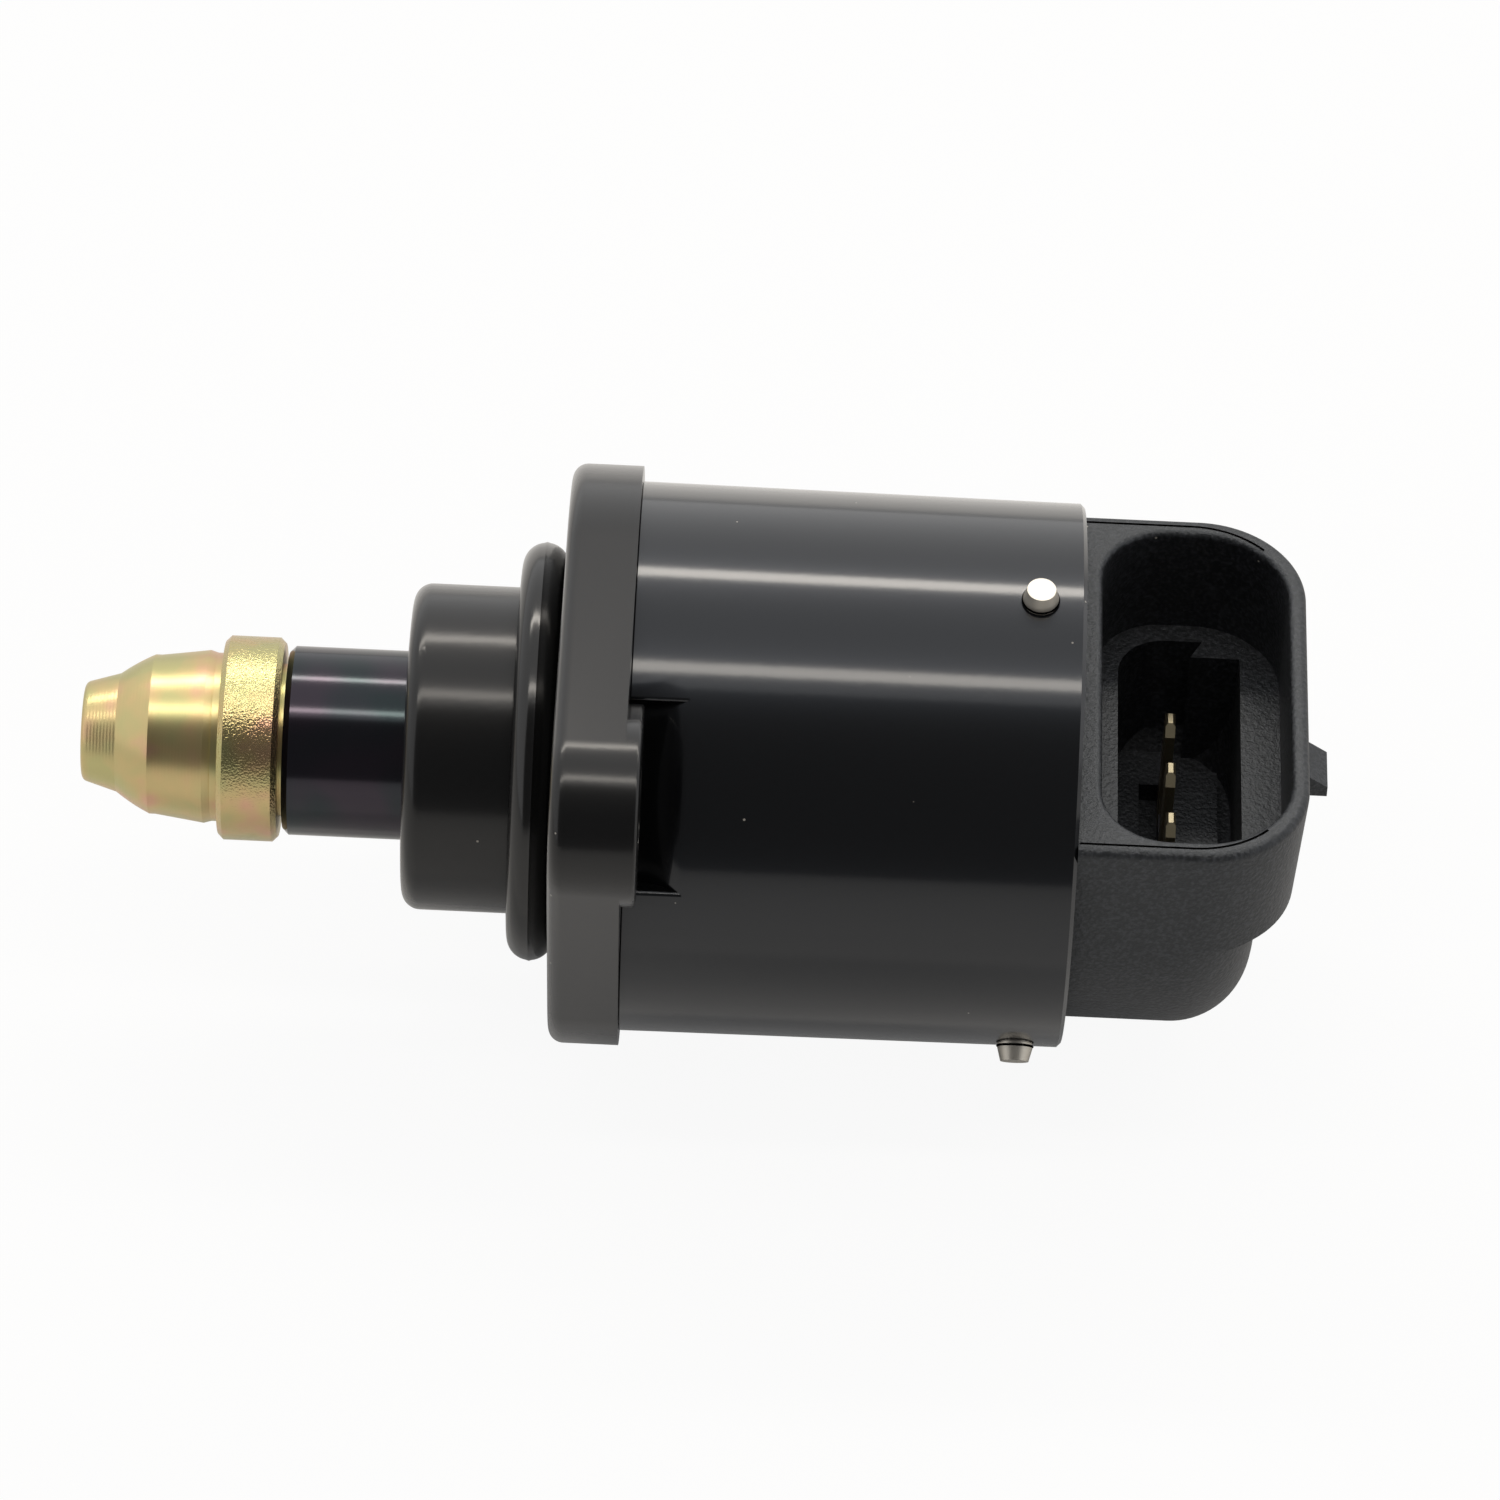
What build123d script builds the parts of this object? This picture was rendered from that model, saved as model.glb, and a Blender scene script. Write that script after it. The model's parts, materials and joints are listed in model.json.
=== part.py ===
from build123d import *

import math
import os

# Idle air control valve: a stepping motor whose threaded rotor slides a pintle along its axis.
# Millimetres. X is the valve axis, with the pintle towards -X and the connector towards +X.
# The origin is the centre of the flange's mounting face, and the plug goes in from +Z.
# Angles about X are in degrees, from +Y towards +Z.

# Flange and spigot
flange_overhang = 1.0
flange_thickness = 4.6
flange_edge_radius = 1.0
ear_radius = 6.0
ear_circle_diameter = 47.0
ear_angle = 144.0
ear_boss_height = 1.0
ear_boss_edge_radius = 0.3
bolt_hole_diameter = 5.5
spigot_diameter = 21.4
spigot_length = 10.0
spigot_edge_radius = 1.2
spigot_lip = 1.0
spigot_lip_clearance = 0.4

# Nose ring
o_ring_section = 3.0
o_ring_seat_depth = 0.1
o_ring_cover = 0.2
undercut_width = 0.5
undercut_depth = 0.4
o_ring_clearance = 0.1

# Motor case
case_diameter = 36.0
case_draft = 0.35
case_length = 28.9
case_wall = 2.2
case_edge = 0.25
case_joint_edge = 0.08
scoop_clearance = 0.2
scoop_length = 3.8
scoop_depth = 1.5
scoop_edge_radius = 0.25
static_clearance = 0.03

# Locking pins
pin_count = 3
pin_diameter = 2.3
pin_top_diameter = 1.85
pin_proud = 1.15
pin_straight = 0.3
pin_depth = 4.6
pin_angle = 97.0
pin_inset = 3.0

# Connector cap
plug_length = 5.9
disc_length = 12.1
disc_edge_radius = 5.2
disc_wall = 1.0
block_length = 14.9
block_draft = 0.5
block_corner_radius = 7.0
block_root = 0.7
block_root_inset = 0.5
rim_height = 8.8
rim_edge_radius = 0.6
mouth_start = 1.5
mouth_length = 12.2
mouth_wall = 1.5
mouth_corner_radius = 4.4
mouth_depth = 8.4
mouth_lead_in = 0.45
ledge_width = 1.5
socket_corner_radius = 3.2
socket_floor_wall = 6.77
support_length = 3.2
support_height = 1.4
trough_length = 1.3
trough_depth = 1.5
row_margin = 0.45
key_thickness = 1.5
key_length = 4.4
key_slant = 0.8
lug_height = 1.75
lug_width = 3.3
lug_length = 2.0
lug_ramp = 1.2
lug_drop = 6.0
lug_root = 1.0

# Terminals
terminal_count = 4
terminal_pitch = 4.65
terminal_width = 2.3
terminal_thickness = 0.64
terminal_inset = 6.6
terminal_reach = 7.85
terminal_point = 0.7
terminal_edge = 0.16
terminal_bend = 1.0
terminal_cover = 2.2
terminal_tail = 0.7

# Cap seal
seal_height = 0.9
seal_width = 1.0
seal_inset = 0.5

# Pintle
sleeve_diameter = 12.4
sleeve_exposed = 8.0
sleeve_tail = 4.4
sleeve_edge = 0.4
pintle_stroke = 6.4
collar_diameter = 13.4
collar_length = 3.9
collar_edge = 0.35
collar_gap = 0.3
neck_diameter = 10.0
relief_length = 1.0
relief_depth = 0.15
seat_diameter = 11.35
seat_length = 3.2
shoulder_diameter = 10.45
shoulder_land = 0.4
cone_length = 2.2
cone_steepness = 0.75
waist_diameter = 7.8
nose_length = 2.3
tip_diameter = 6.4
tip_edge_radius = 0.45
stub_diameter = 8.0
stub_length = 3.5
keyway_width = 2.0
keyway_depth = 1.2
keyway_clearance = 0.1

# Guide bush and wiper seal
guide_wall = 2.0
guide_clearance = 0.05
guide_inset = 0.55
tongue_length = 3.0
wiper_length = 1.6
wiper_lip = 0.4
wiper_flare = 0.4
wiper_heel = 1.0

# Lead screw and rotor
screw_diameter = 4.8
screw_depth = 5.5
screw_end_gap = 2.1
screw_edge = 0.5
screw_clearance = 0.05
journal_diameter = 8.0
hub_diameter = 10.4
rotor_ratio = 0.456
magnet_edge = 0.4
rotor_side_gap = 0.5
air_gap = 0.5

# Ball bearing
bearing_diameter = 17.2
bearing_width = 4.0
bearing_sleeve_gap = 0.6
inner_race_diameter = 10.8
outer_race_diameter = 14.4
ball_count = 6
ball_diameter = 2.4
ball_clearance = 0.03

# Rear bush and preload washer
bush_diameter = 12.0
bush_length = 3.4
bush_clearance = 0.04
hub_tail_gap = 0.5
washer_diameter = 12.6
washer_thickness = 0.3
washer_rise = 0.8
washer_bore_clearance = 0.2
washer_play = 0.05

# Stator
housing_wall = 1.7
bearing_boss_wall = 1.6
web_thickness = 2.4
stator_gap = 0.2
cap_gap = 1.2
sheet_thickness = 0.8
claw_count = 5
claw_root = 4.4
claw_tip = 2.4
claw_tip_gap = 0.6
claw_setback = 0.1
bobbin_wall = 0.5
bobbin_clearance = 0.15
winding_inset = 0.5

# Places worked out along the axis
seat_radius = spigot_diameter / 2 - o_ring_seat_depth
ring_seat_front = o_ring_cover + undercut_width - o_ring_section
case_front = flange_thickness
case_rear = case_front + case_length
case_radius = case_diameter / 2
bore_radius = case_radius - case_wall
plug_radius = bore_radius - static_clearance
cap_front = case_rear - plug_length
disc_end = case_rear + disc_length
block_end = case_rear + block_length
sleeve_radius = sleeve_diameter / 2
sleeve_front = -spigot_length - sleeve_exposed
guide_radius = sleeve_radius + guide_clearance + guide_wall
wiper_front = -spigot_length + spigot_lip
guide_front = wiper_front + wiper_length
guide_rear = sleeve_tail - guide_inset
keyway_length = guide_inset + tongue_length + pintle_stroke + keyway_clearance
bearing_front = sleeve_tail + pintle_stroke + bearing_sleeve_gap
bearing_rear = bearing_front + bearing_width
bearing_radius = bearing_diameter / 2
journal_radius = journal_diameter / 2
hub_radius = hub_diameter / 2
magnet_radius = rotor_ratio * case_radius
stator_front = bearing_rear + stator_gap
stator_rear = cap_front - cap_gap
phase_length = (stator_rear - stator_front) / 2
stator_radius = plug_radius
claw_radius = magnet_radius + air_gap
claw_turn = 360 / claw_count
claw_length = phase_length - 2 * sheet_thickness - claw_tip_gap
boss_radius = bearing_radius + bearing_boss_wall
magnet_front = stator_front + rotor_side_gap
washer_front = cap_front - washer_thickness - washer_rise
magnet_rear = washer_front - washer_play
bush_rear = cap_front + bush_length
hub_rear = bush_rear - hub_tail_gap
screw_tail = hub_rear - pintle_stroke - screw_end_gap
screw_radius = screw_diameter / 2
hub_bore = screw_radius + screw_clearance
pin_x = case_rear - pin_inset
case_radius_at_pin = case_radius - case_draft / 2 * (case_length - pin_inset) / case_length
pin_top = case_radius_at_pin + pin_proud

# Heights worked out in the connector
ledge_z = rim_height - mouth_depth
floor_z = socket_floor_wall - plug_radius
socket_depth = ledge_z - floor_z
mouth_mid = case_rear + mouth_start + mouth_length / 2
mouth_width = 2 * (plug_radius - mouth_wall)
rear_wall = block_length - mouth_start - mouth_length
socket_length = mouth_length - 2 * ledge_width
socket_width = mouth_width - 2 * ledge_width
terminal_x = case_rear + terminal_inset
leg_top = floor_z - terminal_cover
leg_bottom = leg_top - terminal_thickness
terminal_tip = floor_z + terminal_reach
terminal_end = cap_front - terminal_tail
row_width = (terminal_count - 1) * terminal_pitch + terminal_width + 2 * row_margin

os.makedirs("parts", exist_ok=True)


def section(*points):
    """A closed outline of (x, radius) points beside the valve axis, ready to be turned."""
    with BuildSketch(Plane.XZ) as outline:
        with BuildLine():
            Polyline(*points, close=True)
        make_face()
    return outline.sketch


def ring(front, rear, inner, outer):
    """The outline of a plain ring."""
    return section((front, inner), (front, outer), (rear, outer), (rear, inner))


def finish(builder, name):
    """Label a finished piece and write its file."""
    builder.part.label = name
    export_step(builder.part, f"parts/{name}.step")


# Front housing: flange, ears and spigot in one casting, with the bearing boss behind
with BuildPart() as front_housing:
    with BuildSketch(Plane.YZ):
        Circle(case_radius + flange_overhang)
        with PolarLocations(ear_circle_diameter / 2, 2, ear_angle):
            Circle(ear_radius)
        make_hull()
    extrude(amount=flange_thickness)
    fillet(faces().sort_by(Axis.X)[0].edges(), flange_edge_radius)
    with BuildSketch(Plane.YZ.offset(flange_thickness)):
        with PolarLocations(ear_circle_diameter / 2, 2, ear_angle):
            Circle(ear_radius)
            Rectangle(ear_radius, 2 * ear_radius, align=(Align.MAX, Align.CENTER))
    extrude(amount=ear_boss_height)
    fillet(faces().sort_by(Axis.X)[-2:].edges(), ear_boss_edge_radius)
    revolve(ring(-spigot_length, 0, 0, spigot_diameter / 2), axis=Axis.X)
    fillet(faces().sort_by(Axis.X)[0].edges(), spigot_edge_radius)
    ring_seat = ring(ring_seat_front, 0, seat_radius, spigot_diameter / 2)
    revolve(ring_seat, axis=Axis.X, mode=Mode.SUBTRACT)
    undercut_radius = seat_radius - undercut_depth
    undercut = ring(ring_seat_front - undercut_width, ring_seat_front, undercut_radius, spigot_diameter / 2)
    revolve(undercut, axis=Axis.X, mode=Mode.SUBTRACT)
    revolve(ring(case_front, stator_front, 0, plug_radius), axis=Axis.X)
    recess = ring(case_front + web_thickness, stator_front, boss_radius, plug_radius - housing_wall)
    revolve(recess, axis=Axis.X, mode=Mode.SUBTRACT)
    revolve(
        section(
            (-spigot_length, 0),
            (-spigot_length, sleeve_radius + spigot_lip_clearance),
            (wiper_front, sleeve_radius + spigot_lip_clearance),
            (wiper_front, guide_radius + static_clearance),
            (bearing_front, guide_radius + static_clearance),
            (bearing_front, bearing_radius + static_clearance),
            (stator_front, bearing_radius + static_clearance),
            (stator_front, 0),
        ),
        axis=Axis.X,
        mode=Mode.SUBTRACT,
    )
    with BuildSketch(Plane.YZ):
        with PolarLocations(ear_circle_diameter / 2, 2, ear_angle):
            Circle(bolt_hole_diameter / 2)
    extrude(amount=flange_thickness + ear_boss_height, mode=Mode.SUBTRACT)
finish(front_housing, "front_housing")

# Nose ring, round the spigot and against the flange
with BuildPart() as nose_o_ring:
    ring_radius = seat_radius + o_ring_clearance + o_ring_section / 2
    with BuildSketch(Plane.XZ):
        with Locations((-o_ring_section / 2, ring_radius)):
            Circle(o_ring_section / 2)
    revolve(axis=Axis.X)
finish(nose_o_ring, "nose_o_ring")

# Locking pins, driven through the case into the cap
with BuildPart(Plane.YZ.offset(pin_x)) as locking_pins:
    shank = pin_depth + pin_straight
    with PolarLocations(pin_top - pin_proud - pin_depth, pin_count, pin_angle):
        Cylinder(
            pin_diameter / 2,
            shank,
            rotation=(0, 90, 0),
            align=(Align.CENTER, Align.CENTER, Align.MIN),
        )
    with PolarLocations(pin_top - pin_proud - pin_depth + shank, pin_count, pin_angle):
        Cone(
            pin_diameter / 2,
            pin_top_diameter / 2,
            pin_depth + pin_proud - shank,
            rotation=(0, 90, 0),
            align=(Align.CENTER, Align.CENTER, Align.MIN),
        )
finish(locking_pins, "locking_pins")

# Motor case, a drawn tube with a scoop for the screw head behind each ear
with BuildPart() as motor_case:
    revolve(
        section(
            (case_front, bore_radius),
            (case_front, case_radius),
            (case_rear, case_radius - case_draft / 2),
            (case_rear, bore_radius),
        ),
        axis=Axis.X,
    )
    rims = edges().filter_by(GeomType.CIRCLE).group_by(SortBy.RADIUS)
    chamfer(rims[-1], case_joint_edge)
    chamfer(rims[-2], case_edge)
    scoop_turn = 2 * math.degrees(math.asin((ear_radius + scoop_clearance) / case_radius))
    for turn in (0, 180):
        with BuildSketch(Plane.XY.rotated((ear_angle + turn - scoop_turn / 2, 0, 0))):
            with BuildLine():
                low = (case_front, case_radius - scoop_depth)
                high = (case_front + scoop_length, case_radius)
                run_out = TangentArc(low, high, tangent=(1, 0))
                Polyline(run_out @ 1, (case_front + scoop_length, case_radius + scoop_depth),
                         (case_front, case_radius + scoop_depth), low)
            make_face()
        revolve(axis=Axis.X, revolution_arc=scoop_turn, mode=Mode.SUBTRACT)
        fillet(edges(Select.NEW).sort_by(SortBy.LENGTH)[-3:], scoop_edge_radius)
    add(locking_pins.part, mode=Mode.SUBTRACT)
finish(motor_case, "motor_case")

# Terminals, stamped blades in a row, bent forward under the socket floor
terminals = []
for number in range(terminal_count):
    across = (number - (terminal_count - 1) / 2) * terminal_pitch
    blade_plane = Plane((0, across, 0), x_dir=(1, 0, 0), z_dir=(0, -1, 0))
    with BuildPart() as terminal:
        rear_face = terminal_x + terminal_thickness / 2
        with BuildSketch(blade_plane):
            with BuildLine():
                FilletPolyline(
                    (terminal_end, leg_bottom),
                    (rear_face, leg_bottom),
                    (rear_face, terminal_tip),
                    radius=terminal_bend,
                )
                Polyline(
                    (rear_face, terminal_tip),
                    (rear_face - terminal_thickness, terminal_tip),
                    (rear_face - terminal_thickness, leg_top),
                    (terminal_end, leg_top),
                    (terminal_end, leg_bottom),
                )
            make_face()
        extrude(amount=terminal_width / 2, both=True)
        tip_edges = faces().sort_by(Axis.Z)[-1].edges()
        chamfer(tip_edges.filter_by(Axis.X), terminal_point)
        chamfer(faces().sort_by(Axis.Z)[-1].edges().filter_by(Axis.Y), terminal_edge)
    terminals.append(terminal)
    finish(terminal, f"terminal_{number + 1}")

# Space that the plug's inner part fills, bounded by a wall of even thickness
with BuildPart() as socket_core:
    with BuildSketch(Plane.XY.offset(floor_z)):
        with Locations((mouth_mid, 0)):
            RectangleRounded(socket_length, socket_width, socket_corner_radius)
    extrude(amount=socket_depth)
    with BuildSketch(Plane.XZ) as inner_bound:
        with BuildLine():
            Polyline(
                (case_rear, 0),
                (case_rear, plug_radius - disc_wall),
                (disc_end - disc_wall, plug_radius - disc_wall),
                (disc_end - disc_wall, 0),
                close=True,
            )
        make_face()
        outer_corner = inner_bound.vertices().sort_by(Axis.X)[-2:].sort_by(Axis.Y)[-1]
        fillet(outer_corner, disc_edge_radius - disc_wall)
    revolve(axis=Axis.X, mode=Mode.INTERSECT)
    with BuildSketch(Plane.XY.offset(floor_z)):
        with BuildLine():
            key_end = mouth_mid + socket_length / 2
            key_side = socket_width / 2
            Polyline(
                (key_end, key_side),
                (key_end, key_side - key_thickness),
                (key_end - key_length, key_side - key_thickness),
                (key_end - key_length + key_slant, key_side),
                close=True,
            )
        make_face()
    extrude(amount=socket_depth, mode=Mode.SUBTRACT)
    with BuildSketch(Plane.XY.offset(floor_z)):
        with Locations((terminal_x + (terminal_thickness + support_length) / 2, 0)):
            Rectangle(support_length, row_width)
    extrude(amount=support_height, mode=Mode.SUBTRACT)
    with BuildSketch(Plane.XY.offset(floor_z)):
        with Locations((terminal_x - (terminal_thickness + trough_length) / 2, 0)):
            Rectangle(trough_length, row_width)
    extrude(amount=-trough_depth)

# Connector cap, one moulding: plug, round end and the socket block tangent to it
with BuildPart() as connector_cap:
    with BuildSketch(Plane.XY) as block_foot:
        with Locations((case_rear, 0)):
            Rectangle(block_length - block_draft, 2 * plug_radius, align=(Align.MIN, Align.CENTER))
        fillet(block_foot.vertices().sort_by(Axis.X)[-2:], block_corner_radius)
    with BuildSketch(Plane.XY.offset(rim_height)) as block_rim:
        with Locations((case_rear, 0)):
            Rectangle(block_length, 2 * plug_radius, align=(Align.MIN, Align.CENTER))
        fillet(block_rim.vertices().sort_by(Axis.X)[-2:], block_corner_radius)
    loft()
    fillet(faces().sort_by(Axis.Z)[-1].edges().sort_by(Axis.X)[1:], rim_edge_radius)
    with BuildSketch(Plane.XY.offset(rim_height)) as mouth:
        with Locations((mouth_mid, 0)):
            Rectangle(mouth_length, mouth_width)
        fillet(mouth.vertices().sort_by(Axis.X)[-2:], block_corner_radius - rear_wall)
        fillet(mouth.vertices().sort_by(Axis.X)[:2], mouth_corner_radius)
    extrude(amount=-mouth_depth, mode=Mode.SUBTRACT)
    fillet(faces().sort_by(Axis.Z)[-1].inner_wires()[0].edges(), mouth_lead_in)
    with BuildSketch(Plane.XY):
        add(block_foot.sketch)
        offset(amount=-block_root_inset)
    extrude(amount=-block_root)
    revolve(ring(cap_front, case_rear, 0, plug_radius), axis=Axis.X)
    with BuildSketch(Plane.XY) as round_end:
        with BuildLine():
            Polyline(
                (case_rear, 0),
                (case_rear, -plug_radius),
                (disc_end, -plug_radius),
                (disc_end, 0),
                close=True,
            )
        make_face()
        fillet(round_end.vertices().sort_by(Axis.X)[-2:].sort_by(Axis.Y)[0], disc_edge_radius)
    revolve(axis=Axis.X, revolution_arc=180)
    add(socket_core.part, mode=Mode.SUBTRACT)
    with BuildSketch(Plane.XZ):
        with BuildLine():
            lug_top = rim_height - lug_drop
            Polyline(
                (block_end - lug_root, lug_top),
                (block_end, lug_top),
                (block_end + lug_height, lug_top - lug_ramp),
                (block_end + lug_height, lug_top - lug_length),
                (block_end - lug_root, lug_top - lug_length),
                close=True,
            )
        make_face()
    extrude(amount=lug_width / 2, both=True)
    revolve(
        section(
            (cap_front, 0),
            (cap_front, bush_diameter / 2),
            (bush_rear, bush_diameter / 2),
            (bush_rear, 0),
        ),
        axis=Axis.X,
        mode=Mode.SUBTRACT,
    )
    seal_front = cap_front + seal_inset
    groove = ring(seal_front, seal_front + seal_width, plug_radius - seal_height, bore_radius)
    revolve(groove, axis=Axis.X, mode=Mode.SUBTRACT)
    add(locking_pins.part, mode=Mode.SUBTRACT)
    for terminal in terminals:
        add(terminal.part, mode=Mode.SUBTRACT)
finish(connector_cap, "connector_cap")

# Cap seal, a square ring in the plug's groove
with BuildPart() as cap_seal:
    revolve(
        ring(seal_front, seal_front + seal_width, plug_radius - seal_height, bore_radius),
        axis=Axis.X,
    )
finish(cap_seal, "cap_seal")

# Pintle head, turned from bar: tip, nose cone, shoulder, seat, collar and a stub behind
collar_rear = sleeve_front - collar_gap
collar_front = collar_rear - collar_length
relief_front = collar_front - relief_length
seat_front = relief_front - seat_length
cone_rear = seat_front - shoulder_land
cone_front = cone_rear - cone_length
tip_x = cone_front - nose_length
with BuildPart() as pintle_head:
    collar_radius = collar_diameter / 2
    relief_radius = seat_diameter / 2 - relief_depth
    with BuildSketch(Plane.XZ):
        with BuildLine():
            Polyline((tip_x, 0), (tip_x, tip_diameter / 2), (cone_front, waist_diameter / 2))
            TangentArc(
                (cone_front, waist_diameter / 2),
                (cone_rear, shoulder_diameter / 2),
                tangent=(1, cone_steepness),
            )
            Polyline(
                (cone_rear, shoulder_diameter / 2),
                (seat_front, shoulder_diameter / 2),
                (relief_front, seat_diameter / 2),
                (relief_front + relief_length / 2, relief_radius),
                (collar_front, relief_radius),
                (collar_front, collar_radius - collar_edge),
                (collar_front + collar_edge, collar_radius),
                (collar_rear - collar_edge, collar_radius),
                (collar_rear, collar_radius - collar_edge),
                (collar_rear, neck_diameter / 2),
                (sleeve_front, neck_diameter / 2),
                (sleeve_front, stub_diameter / 2),
                (sleeve_front + stub_length, stub_diameter / 2),
                (sleeve_front + stub_length, 0),
                (tip_x, 0),
            )
        make_face()
    revolve(axis=Axis.X)
    fillet(faces().sort_by(Axis.X)[0].edges(), tip_edge_radius)
    revolve(
        ring(sleeve_front - screw_depth, sleeve_front + stub_length, 0, screw_radius),
        axis=Axis.X,
        mode=Mode.SUBTRACT,
    )
finish(pintle_head, "pintle_head")

# Pintle sleeve, hollow, with a keyway that stops it turning
with BuildPart() as pintle_sleeve:
    revolve(
        section(
            (sleeve_front, stub_diameter / 2),
            (sleeve_front, sleeve_radius - sleeve_edge),
            (sleeve_front + sleeve_edge, sleeve_radius),
            (sleeve_tail, sleeve_radius),
            (sleeve_tail, screw_radius),
            (sleeve_front + stub_length, screw_radius),
            (sleeve_front + stub_length, stub_diameter / 2),
        ),
        axis=Axis.X,
    )
    with BuildSketch(Plane.YZ.offset(sleeve_tail)):
        with Locations((0, sleeve_radius)):
            Rectangle(keyway_width, 2 * keyway_depth)
    extrude(amount=-keyway_length, mode=Mode.SUBTRACT)
finish(pintle_sleeve, "pintle_sleeve")

# Lead screw, fixed in the pintle and driven by the rotor's thread
with BuildPart() as lead_screw:
    revolve(ring(sleeve_front - screw_depth, screw_tail, 0, screw_radius), axis=Axis.X)
    chamfer(edges().filter_by(GeomType.CIRCLE), screw_edge)
finish(lead_screw, "lead_screw")

# Guide bush, with the tongue that runs in the sleeve's keyway
with BuildPart() as guide_bush:
    revolve(
        ring(guide_front, guide_rear, sleeve_radius + guide_clearance, guide_radius),
        axis=Axis.X,
    )
    tongue_foot = sleeve_radius - keyway_depth + keyway_clearance
    tongue_head = sleeve_radius + guide_wall / 2
    with BuildSketch(Plane.YZ.offset(guide_rear)):
        with Locations((0, (tongue_foot + tongue_head) / 2)):
            Rectangle(keyway_width - 2 * keyway_clearance, tongue_head - tongue_foot)
    extrude(amount=-tongue_length)
finish(guide_bush, "guide_bush")

# Wiper seal behind the spigot's lip
with BuildPart() as wiper_seal:
    lip_radius = sleeve_radius + guide_clearance
    revolve(
        section(
            (wiper_front, lip_radius),
            (wiper_front, guide_radius),
            (guide_front, guide_radius),
            (guide_front, lip_radius + wiper_heel),
            (wiper_front + wiper_lip + wiper_flare, lip_radius + wiper_heel),
            (wiper_front + wiper_lip, lip_radius),
        ),
        axis=Axis.X,
    )
finish(wiper_seal, "wiper_seal")

# Rotor hub, with the bearing journal in front, the magnet's seat and the rear journal
with BuildPart() as rotor_hub:
    revolve(
        section(
            (bearing_front, hub_bore),
            (bearing_front, journal_radius),
            (bearing_rear, journal_radius),
            (bearing_rear, hub_radius),
            (magnet_rear, hub_radius),
            (magnet_rear, journal_radius),
            (hub_rear, journal_radius),
            (hub_rear, hub_bore),
        ),
        axis=Axis.X,
    )
finish(rotor_hub, "rotor_hub")

# Rotor magnet, a ring bonded on the hub
with BuildPart() as rotor_magnet:
    revolve(ring(magnet_front, magnet_rear, hub_radius, magnet_radius), axis=Axis.X)
    chamfer(edges().filter_by(GeomType.CIRCLE).group_by(SortBy.RADIUS)[-1], magnet_edge)
finish(rotor_magnet, "rotor_magnet")

# Ball bearing: two grooved rings and the balls between them
pitch_radius = (inner_race_diameter + outer_race_diameter) / 4
bearing_mid = (bearing_front + bearing_rear) / 2
with BuildSketch(Plane.XZ) as ball_track:
    with Locations((bearing_mid, pitch_radius)):
        Circle(ball_diameter / 2 + ball_clearance)
with BuildPart() as bearing_inner_ring:
    revolve(ring(bearing_front, bearing_rear, journal_radius, inner_race_diameter / 2), axis=Axis.X)
    revolve(ball_track.sketch, axis=Axis.X, mode=Mode.SUBTRACT)
finish(bearing_inner_ring, "bearing_inner_ring")
with BuildPart() as bearing_outer_ring:
    revolve(ring(bearing_front, bearing_rear, outer_race_diameter / 2, bearing_radius), axis=Axis.X)
    revolve(ball_track.sketch, axis=Axis.X, mode=Mode.SUBTRACT)
finish(bearing_outer_ring, "bearing_outer_ring")
with BuildPart(Plane.YZ.offset(bearing_mid)) as bearing_balls:
    with PolarLocations(pitch_radius, ball_count):
        Sphere(ball_diameter / 2)
finish(bearing_balls, "bearing_balls")

# Rear bush in the cap
with BuildPart() as rear_bush:
    revolve(
        ring(cap_front, bush_rear, journal_radius + bush_clearance, bush_diameter / 2),
        axis=Axis.X,
    )
finish(rear_bush, "rear_bush")

# Preload washer, a coned spring between the rear bush and the rotor
with BuildPart() as preload_washer:
    washer_foot = journal_radius + washer_bore_clearance
    revolve(
        section(
            (cap_front, washer_foot),
            (cap_front - washer_thickness, washer_foot),
            (washer_front, washer_diameter / 2),
            (washer_front + washer_thickness, washer_diameter / 2),
        ),
        axis=Axis.X,
    )
finish(preload_washer, "preload_washer")


def claw_places(root, facing, start):
    """Places round the axis for claws that stand on a sheet at root and point along facing."""
    heading = 0 if facing > 0 else 180
    return [Location((root, 0, 0), (start + step * claw_turn, 0, heading)) for step in range(claw_count)]


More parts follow.
